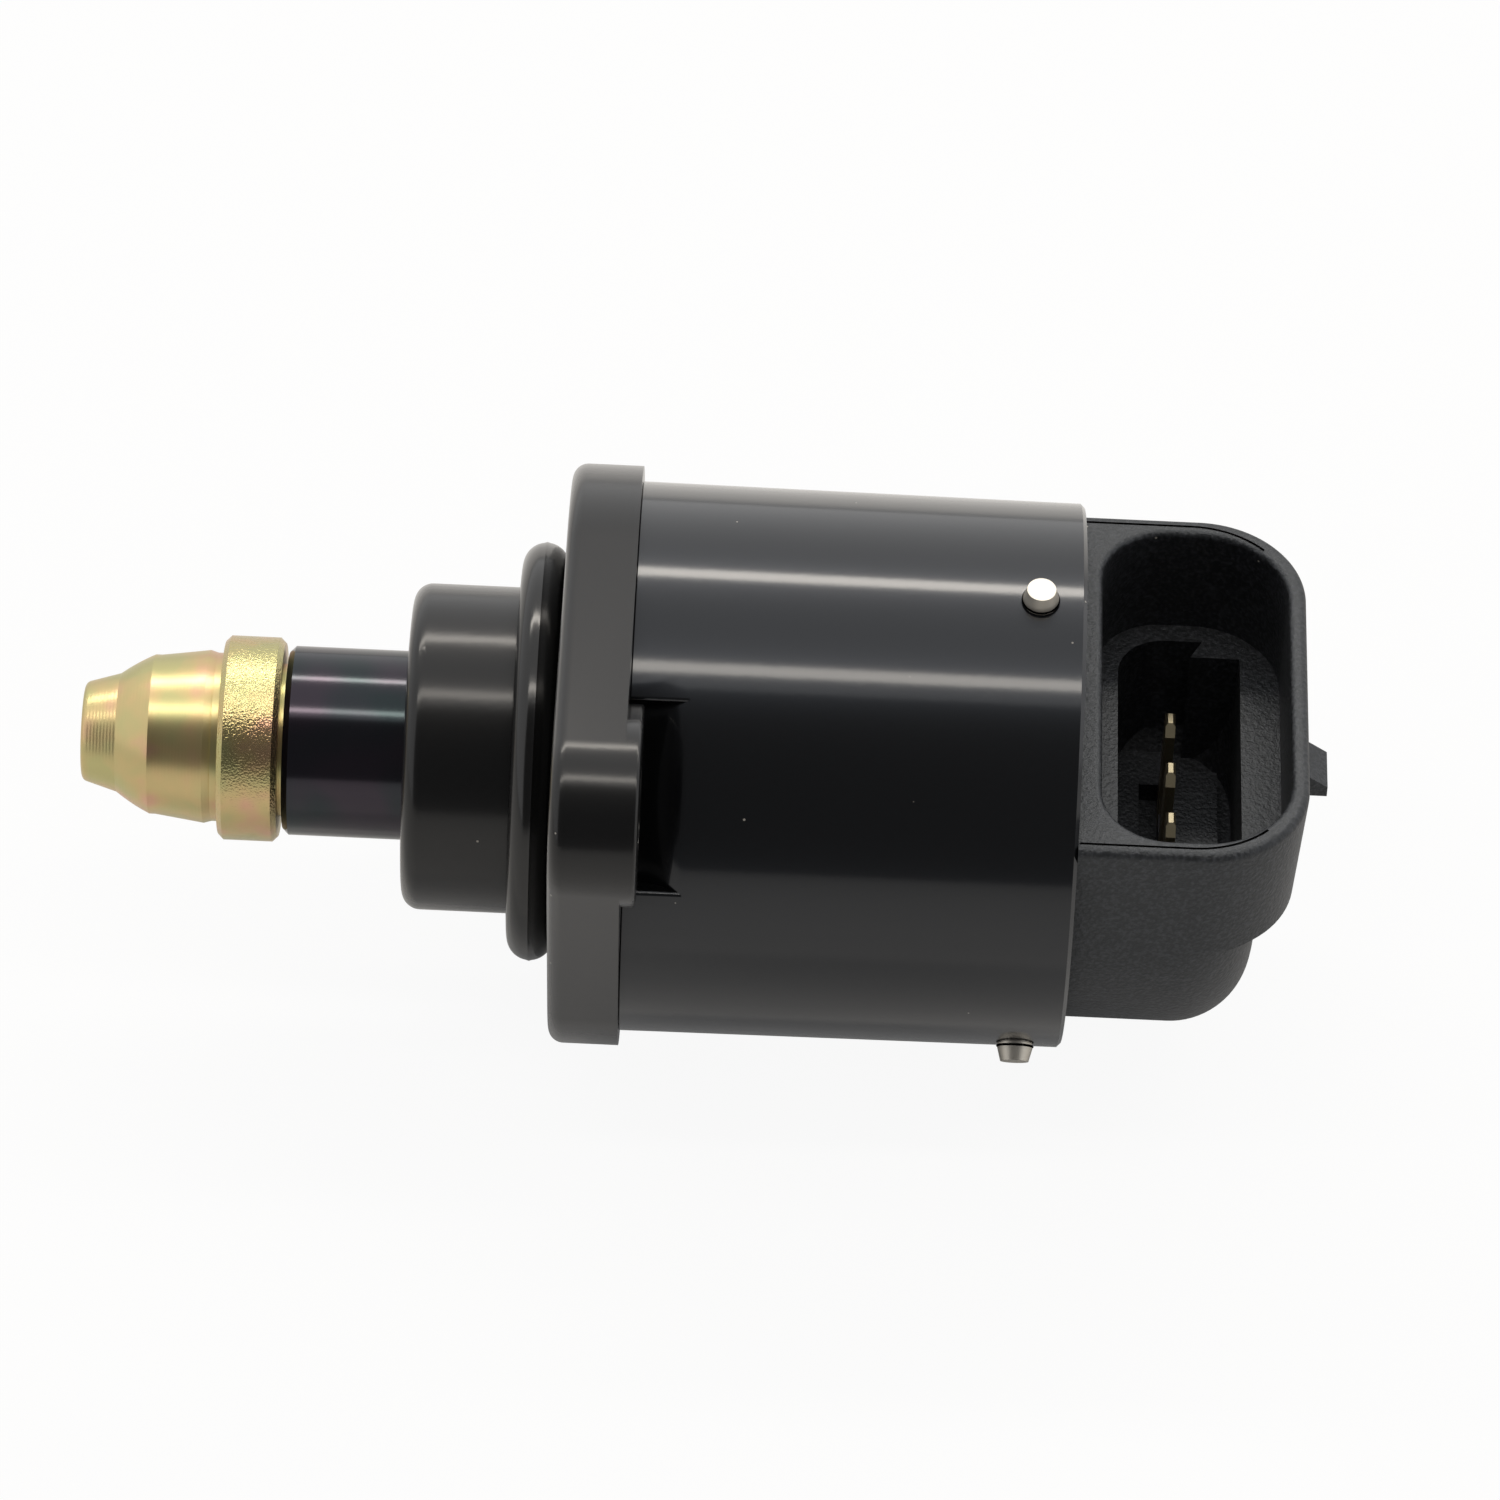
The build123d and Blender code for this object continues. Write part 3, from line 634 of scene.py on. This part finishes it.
class VALVE_OT_motor_case(bpy.types.Operator):
    """Make the painted motor case"""

    bl_idname = "valve.motor_case"
    bl_label = "Motor case"

    def execute(self, context):
        outside = radius_of("motor_case")
        draft = 0.3 * MM
        slack = 0.01 * MM
        bands = [(outside - draft, outside + slack)]
        case = smooth_copy("motor_case", finish_of(context, gloss_black_enamel), bands)
        soften_run_out(case.data, outside, context.scene.valve_sizes.scoop_slope)
        return {"FINISHED"}


class VALVE_OT_front_housing(bpy.types.Operator):
    """Make the coated front housing, with its flange, ears and spigot"""

    bl_idname = "valve.front_housing"
    bl_label = "Front housing"

    def execute(self, context):
        every_radius = [(0, radius_of("front_housing"))]
        smooth_copy("front_housing", finish_of(context, black_coated_casting), every_radius)
        return {"FINISHED"}


class VALVE_OT_nose_ring(bpy.types.Operator):
    """Make the nose ring, with the flash that its mould leaves round the outside"""

    bl_idname = "valve.nose_ring"
    bl_label = "Nose ring"

    def execute(self, context):
        low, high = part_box("nose_o_ring")
        section_radius = (high.x - low.x) / 2
        middle = Vector(((low.x + high.x) / 2, 0, high.z - section_radius))
        shape = bmesh.new()
        upright = Matrix.Translation(middle) @ Matrix.Rotation(math.pi / 2, 4, "X")
        circle = bmesh.ops.create_circle(shape, segments=48, radius=section_radius, matrix=upright)
        section = circle["verts"]
        crest = max(section, key=lambda vertex: vertex.co.z)
        crest.co.z += context.scene.valve_sizes.flash_height
        spin_round(shape, section, (0, 0, 0), AXIS, 180)
        close_shape(shape)
        rubber = finish_of(context, moulded_nitrile)
        ring = mesh_piece("nose_ring_moulding", shape, "body", rubber)
        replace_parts(ring, "nose_o_ring")
        return {"FINISHED"}


class VALVE_OT_locking_pins(bpy.types.Operator):
    """Make the steel pins that lock the cap in the case, and a dark ring of painted shade in the gap round
    each
    """

    bl_idname = "valve.locking_pins"
    bl_label = "Locking pins"

    def execute(self, context):
        smooth_copy("locking_pins", finish_of(context, bright_ground_steel))
        low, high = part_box("locking_pins")
        middle = (low.x + high.x) / 2
        ring_radius = (high.x - low.x) / 2
        section_radius = context.scene.valve_sizes.pin_gap / 2
        shape = bmesh.new()
        for outward in pin_directions():
            centre = middle * AXIS + radius_of("motor_case") * outward
            upright = Matrix((AXIS, outward, AXIS.cross(outward))).transposed().to_4x4()
            place = Matrix.Translation(centre + ring_radius * AXIS) @ upright
            circle = bmesh.ops.create_circle(shape, segments=12, radius=section_radius, matrix=place)
            spin_round(shape, circle["verts"], centre, outward, 48)
        close_shape(shape)
        # A dark ring round each pin paints the shade in its gap.
        mesh_piece("pin_gap_shades", shape, "body", finish_of(context, painted_gap_shade))
        return {"FINISHED"}


class VALVE_OT_connector_cap(bpy.types.Operator):
    """Make the connector cap, and a dark strip of painted shade along the line that its mould leaves round
    the rim
    """

    bl_idname = "valve.connector_cap"
    bl_label = "Connector cap"

    def execute(self, context):
        sizes = context.scene.valve_sizes
        smooth_copy("connector_cap", finish_of(context, glass_filled_nylon))
        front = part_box("motor_case")[1].x
        behind = [vertex.co for vertex in NODES["connector_cap"].data.vertices if vertex.co.x > front + MM]
        rim_height = max(spot.z for spot in behind)
        slack = 0.01 * MM
        rim = [spot for spot in behind if spot.z > rim_height - slack]
        depth = max(spot.x for spot in rim) - sizes.line_inset - front
        width = 2 * (max(spot.y for spot in rim) - sizes.line_inset)
        shape = bmesh.new()
        bmesh.ops.create_grid(shape, x_segments=1, y_segments=1, size=0.5)
        bmesh.ops.scale(shape, verts=shape.verts, vec=(depth, width, 1))
        bmesh.ops.translate(shape, verts=shape.verts, vec=(front + depth / 2, 0, rim_height))
        corners = [vertex for vertex in shape.verts if vertex.co.x > front + depth / 2]
        bmesh.ops.bevel(
            shape,
            geom=corners,
            offset=sizes.corner_radius - sizes.line_inset,
            affect="VERTICES",
            segments=24,
            profile=0.5,
            material=-1,
        )
        band = bmesh.ops.inset_region(
            shape, faces=shape.faces[:], thickness=sizes.line_width, use_boundary=True, use_even_offset=True
        )
        # The line, a strip of painted shade, fades out part of the way round the corners.
        fade = 0.3 * sizes.corner_radius
        side = width / 2 - fade
        on_sides = [face for face in band["faces"] if abs(face.calc_center_median().y) > side]
        others = [face for face in shape.faces if face not in on_sides]
        bmesh.ops.delete(shape, geom=others, context="FACES")
        raised = bmesh.ops.extrude_face_region(shape, geom=shape.faces[:])
        tops = [item for item in raised["geom"] if isinstance(item, bmesh.types.BMVert)]
        bmesh.ops.translate(shape, verts=tops, vec=(0, 0, sizes.line_height))
        bmesh.ops.recalc_face_normals(shape, faces=shape.faces)
        # A raised strip in the dark, glossless colour paints the shade in the parting line.
        mesh_piece("cap_parting_line_shade", shape, "body", finish_of(context, painted_gap_shade))
        return {"FINISHED"}


class VALVE_OT_terminals(bpy.types.Operator):
    """Give the blade terminals their tinned finish"""

    bl_idname = "valve.terminals"
    bl_label = "Terminals"

    def execute(self, context):
        for number in range(1, 5):
            paint(NODES[f"terminal_{number}"], finish_of(context, tinned_brass))
        return {"FINISHED"}


class VALVE_OT_pintle(bpy.types.Operator):
    """Make the plated pintle head and the gloss sleeve behind it"""

    bl_idname = "valve.pintle"
    bl_label = "Pintle"

    def execute(self, context):
        sleeve_radius = radius_of("pintle_sleeve")
        smooth_copy("pintle_sleeve", finish_of(context, gloss_black_moulding), [(0, sleeve_radius)])
        head_radius = radius_of("pintle_head")
        plating = finish_of(context, turned_yellow_zinc)
        head = smooth_copy("pintle_head", plating, [(0, head_radius)], FINE_CREASE)
        head.data.materials.append(finish_of(context, blasted_yellow_zinc))
        collar = head_radius - context.scene.valve_sizes.collar_face
        for face in head.data.polygons:
            if math.hypot(face.center.y, face.center.z) > collar:
                face.material_index = 1
        return {"FINISHED"}


class VALVE_OT_inner_pieces(bpy.types.Operator):
    """Give the pieces inside the valve their finishes"""

    bl_idname = "valve.inner_pieces"
    bl_label = "Inner pieces"

    def execute(self, context):
        finishes = {
            bright_ground_steel: (
                "lead_screw", "bearing_inner_ring", "bearing_outer_ring", "bearing_balls", "preload_washer",
            ),
            natural_nylon: ("guide_bush", "rotor_hub", "coil_bobbin_front", "coil_bobbin_rear"),
            moulded_nitrile: ("cap_seal", "wiper_seal"),
            sintered_bronze: ("rear_bush",),
            bonded_ferrite: ("rotor_magnet",),
            zinc_plated_sheet: (
                "stator_cup_front", "stator_cup_rear", "pole_plate_front", "pole_plate_rear",
            ),
            enamelled_copper_wire: ("coil_winding_front", "coil_winding_rear"),
        }
        for recipe, nodes in finishes.items():
            for node in nodes:
                paint(NODES[node], finish_of(context, recipe))
        return {"FINISHED"}


def studio_sheet(name, centre, facing, along, across, material):
    """A flat sheet of the studio, square to the direction it faces and long along X."""
    shape = bmesh.new()
    bmesh.ops.create_grid(shape, x_segments=1, y_segments=1, size=0.5)
    bmesh.ops.scale(shape, verts=shape.verts, vec=(along, across, 1))
    turn = Vector((0, 0, 1)).rotation_difference(facing).to_matrix()
    bmesh.ops.rotate(shape, verts=shape.verts, cent=(0, 0, 0), matrix=turn)
    bmesh.ops.translate(shape, verts=shape.verts, vec=centre)
    mesh = bpy.data.meshes.new(name)
    shape.to_mesh(mesh)
    shape.free()
    sheet = bpy.data.objects.new(name, mesh)
    bpy.context.scene.collection.objects.link(sheet)
    paint(sheet, material)
    return sheet


def card_paper(level):
    """Black card that still throws back a faint, even light."""
    material = start_material("card_paper")[0]
    tree = material.node_tree
    glow = add_node(tree, "ShaderNodeEmission", {"Color": (1, 1, 1, 1), "Strength": level})
    add_node(tree, "ShaderNodeOutputMaterial", {"Surface": glow.outputs["Emission"]})
    return material


def mirrored_ray(tree, rays):
    """1 for a ray of a clear reflection or of a clear body."""
    mirrored = add_node(
        tree,
        "ShaderNodeMath",
        {0: rays["Is Glossy Ray"], 1: rays["Is Transmission Ray"]},
        operation="MAXIMUM",
    )
    return mirrored.outputs[0]


def floor_paper(tint, glow, mirror):
    """Pale paper that looks nearly white, with a faint shadow."""
    material = start_material("floor_paper")[0]
    tree = material.node_tree
    rays = add_node(tree, "ShaderNodeLightPath").outputs
    in_gloss = add_node(
        tree, "ShaderNodeMath", {0: mirrored_ray(tree, rays), 1: mirror}, operation="MULTIPLY"
    )
    whiteness = add_node(
        tree,
        "ShaderNodeMath",
        {0: rays["Is Camera Ray"], 1: glow, 2: in_gloss.outputs[0]},
        operation="MULTIPLY_ADD",
    )
    paper = add_node(tree, "ShaderNodeBsdfDiffuse", {"Color": (*tint, 1)})
    white = add_node(tree, "ShaderNodeEmission", {"Color": (1, 1, 1, 1), "Strength": 1})
    both = add_node(
        tree,
        "ShaderNodeMixShader",
        {"Fac": whiteness.outputs[0], 1: paper.outputs[0], 2: white.outputs[0]},
    )
    add_node(tree, "ShaderNodeOutputMaterial", {"Surface": both.outputs[0]})
    return material


def white_room(fill):
    """A world that looks white, and lights the valve at the fill's level."""
    world = bpy.data.worlds.new("white_room")
    world.use_nodes = True
    tree = world.node_tree
    tree.nodes.clear()
    rays = add_node(tree, "ShaderNodeLightPath").outputs
    seen = add_node(
        tree, "ShaderNodeMath", {0: rays["Is Camera Ray"], 1: mirrored_ray(tree, rays)}, operation="MAXIMUM"
    )
    level = add_node(tree, "ShaderNodeMapRange", {"Value": seen.outputs[0], "To Min": fill, "To Max": 1})
    light = add_node(
        tree, "ShaderNodeBackground", {"Color": (1, 1, 1, 1), "Strength": level.outputs["Result"]}
    )
    add_node(tree, "ShaderNodeOutputWorld", {"Surface": light.outputs["Background"]})
    return world


def over_the_top(turn):
    """The direction at an angle from the near side, up over the top."""
    return Vector((0, -math.cos(turn), math.sin(turn)))


def add_strip(context, name, turn, watts):
    """A strip light along the valve, at an angle from the near side."""
    stage = context.scene.valve_stage
    lamp = bpy.data.lights.new(name, "AREA")
    lamp.shape = "RECTANGLE"
    lamp.size = stage.strip_length
    lamp.size_y = stage.strip_width
    lamp.energy = watts
    lamp.color = stage.strip_tint
    strip = bpy.data.objects.new(name, lamp)
    context.scene.collection.objects.link(strip)
    back = over_the_top(turn)
    axes = Matrix((AXIS, back.cross(AXIS), back)).transposed()
    spot = stage.aim_along * AXIS + stage.strip_distance * back
    strip.matrix_world = Matrix.Translation(spot) @ axes.to_4x4()
    strip.visible_camera = False


def add_camera(context):
    """The camera at the photograph's place, with the valve's axis nearly level in the picture."""
    stage = context.scene.valve_stage
    lens = bpy.data.cameras.new("camera")
    lens.lens = stage.focal_length
    lens.sensor_width = stage.sensor_width
    camera = bpy.data.objects.new("camera", lens)
    context.scene.collection.objects.link(camera)
    towards_camera = over_the_top(stage.elevation)
    level_up = over_the_top(stage.elevation + math.pi / 2)
    right = math.cos(stage.roll) * AXIS + math.sin(stage.roll) * level_up
    up = math.cos(stage.roll) * level_up - math.sin(stage.roll) * AXIS
    axes = Matrix((right, up, towards_camera)).transposed()
    spot = stage.aim_along * AXIS + stage.aim_up * level_up + stage.distance * towards_camera
    camera.matrix_world = Matrix.Translation(spot) @ axes.to_4x4()
    context.scene.camera = camera


class VALVE_OT_stage(bpy.types.Operator):
    """Build the studio: floor, black card, strip lights, white room and camera"""

    bl_idname = "valve.stage"
    bl_label = "Studio"

    def execute(self, context):
        stage = context.scene.valve_stage
        floor_level = CAD_BOX[0][2]
        pale = floor_paper(context.scene.valve_colours.floor, stage.floor_glow, stage.floor_mirror)
        studio_sheet(
            "floor",
            Vector((0, 0, floor_level)),
            Vector((0, 0, 1)),
            stage.floor_size,
            stage.floor_size,
            pale,
        )
        towards_card = over_the_top(stage.card_angle)
        card = studio_sheet(
            "black_card",
            stage.card_along * AXIS + stage.card_distance * towards_card,
            -towards_card,
            stage.card_length,
            stage.card_width,
            card_paper(stage.card_level),
        )
        card.visible_camera = False
        card.visible_diffuse = False
        card.visible_shadow = False
        add_strip(context, "overhead_strip", stage.overhead_angle, stage.overhead_power)
        add_strip(context, "rear_strip", stage.rear_angle, stage.rear_power)
        context.scene.world = white_room(stage.fill)
        add_camera(context)
        context.scene.view_settings.view_transform = "Standard"
        return {"FINISHED"}


class VALVE_PT_pieces(bpy.types.Panel):
    """Lists the valve's pieces, sizes and colours"""

    bl_idname = "VALVE_PT_pieces"
    bl_label = "Idle air control valve"
    bl_space_type = "VIEW_3D"
    bl_region_type = "UI"
    bl_category = "Valve"

    def draw(self, context):
        for operator in OPERATORS:
            self.layout.operator(operator.bl_idname)
        for group in (context.scene.valve_colours, context.scene.valve_sizes, context.scene.valve_stage):
            box = self.layout.box()
            for name in group.bl_rna.properties.keys():
                if name not in ("rna_type", "name"):
                    box.prop(group, name)


OPERATORS = (
    VALVE_OT_motor_case,
    VALVE_OT_front_housing,
    VALVE_OT_nose_ring,
    VALVE_OT_locking_pins,
    VALVE_OT_connector_cap,
    VALVE_OT_terminals,
    VALVE_OT_pintle,
    VALVE_OT_inner_pieces,
    VALVE_OT_stage,
)
GROUPS = {"valve_colours": ValveColours, "valve_sizes": ValveSizes, "valve_stage": ValveStage}


def register():
    """Make the valve's settings, operators and panel known to Blender."""
    for name, group in GROUPS.items():
        bpy.utils.register_class(group)
        setattr(bpy.types.Scene, name, bpy.props.PointerProperty(type=group))
    for operator in OPERATORS:
        bpy.utils.register_class(operator)
    bpy.utils.register_class(VALVE_PT_pieces)


def unregister():
    """Take the valve's panel, operators and settings out of Blender."""
    bpy.utils.unregister_class(VALVE_PT_pieces)
    for operator in reversed(OPERATORS):
        bpy.utils.unregister_class(operator)
    for name, group in GROUPS.items():
        delattr(bpy.types.Scene, name)
        bpy.utils.unregister_class(group)


def main():
    """Build the valve piece by piece."""
    register()
    bpy.ops.valve.motor_case()
    bpy.ops.valve.front_housing()
    bpy.ops.valve.nose_ring()
    bpy.ops.valve.locking_pins()
    bpy.ops.valve.connector_cap()
    bpy.ops.valve.terminals()
    bpy.ops.valve.pintle()
    bpy.ops.valve.inner_pieces()
    bpy.ops.valve.stage()


if __name__ == "__main__":
    main()
